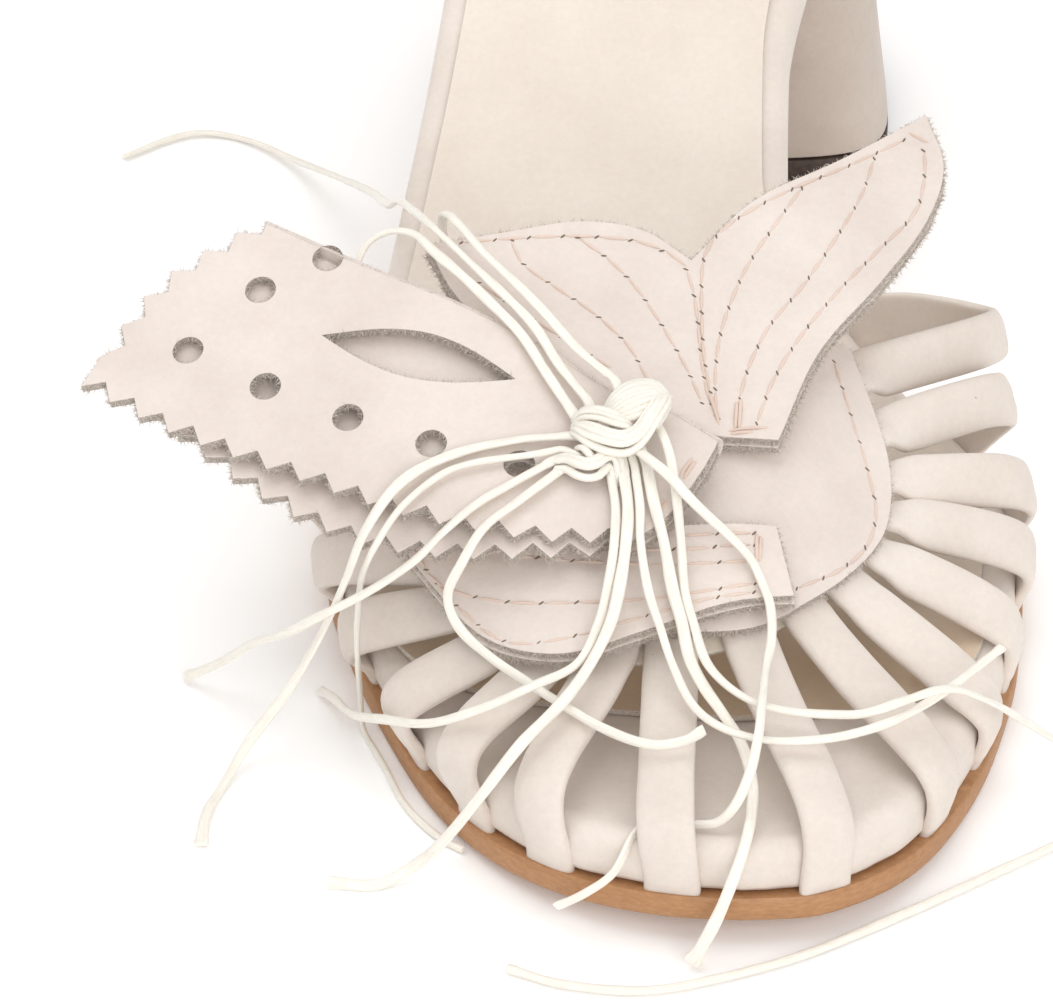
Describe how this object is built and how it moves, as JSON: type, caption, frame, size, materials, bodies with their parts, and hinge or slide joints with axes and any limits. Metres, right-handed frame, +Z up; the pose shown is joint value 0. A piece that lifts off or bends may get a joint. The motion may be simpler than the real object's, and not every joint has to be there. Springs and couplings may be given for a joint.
{
  "type": "heeled mule sandal",
  "caption": "Open mule sandal for a right foot: a fan of folded straps, a padded footbed, a block heel and an ornament of stitched fins and a pinked wing tied with cords.",
  "frame": {"origin": "flat spot under the ball of the foot, where the forefoot rests on the floor", "axes": "+Z up, +Y from toe to heel, +X towards the medial (big toe) side"},
  "size_m": [0.136, 0.2405, 0.0692],
  "materials": {
    "pale_leather": "matte, softly buffed",
    "sole_leather": "waxed cut edge",
    "sock_leather": "smooth, satin",
    "lift_rubber": "matte",
    "waxed_cord": "waxed flat cord, satin"
  },
  "bodies": {
    "root": {"outsole": "sole_leather", "footbed": "pale_leather", "sock": "sock_leather", "heel_block": "pale_leather", "top_lift": "lift_rubber", "upper": "pale_leather", "vamp_patch": "pale_leather", "lower_fin": "pale_leather", "tail_fin": "pale_leather", "wing_top": "pale_leather", "wing_under": "pale_leather", "knot": "waxed_cord", "cord_back": "waxed_cord", "cord_wrap": "waxed_cord", "cord_lobe": "waxed_cord", "cord_far_left": "waxed_cord", "cord_side_left": "waxed_cord", "cord_near_left": "waxed_cord", "cord_loop": "waxed_cord", "cord_front_left": "waxed_cord", "cord_fork": "waxed_cord", "cord_right_rest": "waxed_cord", "cord_right_floor": "waxed_cord", "cord_toe": "waxed_cord", "cord_under_strap": "waxed_cord"}
  },
  "joints": []
}
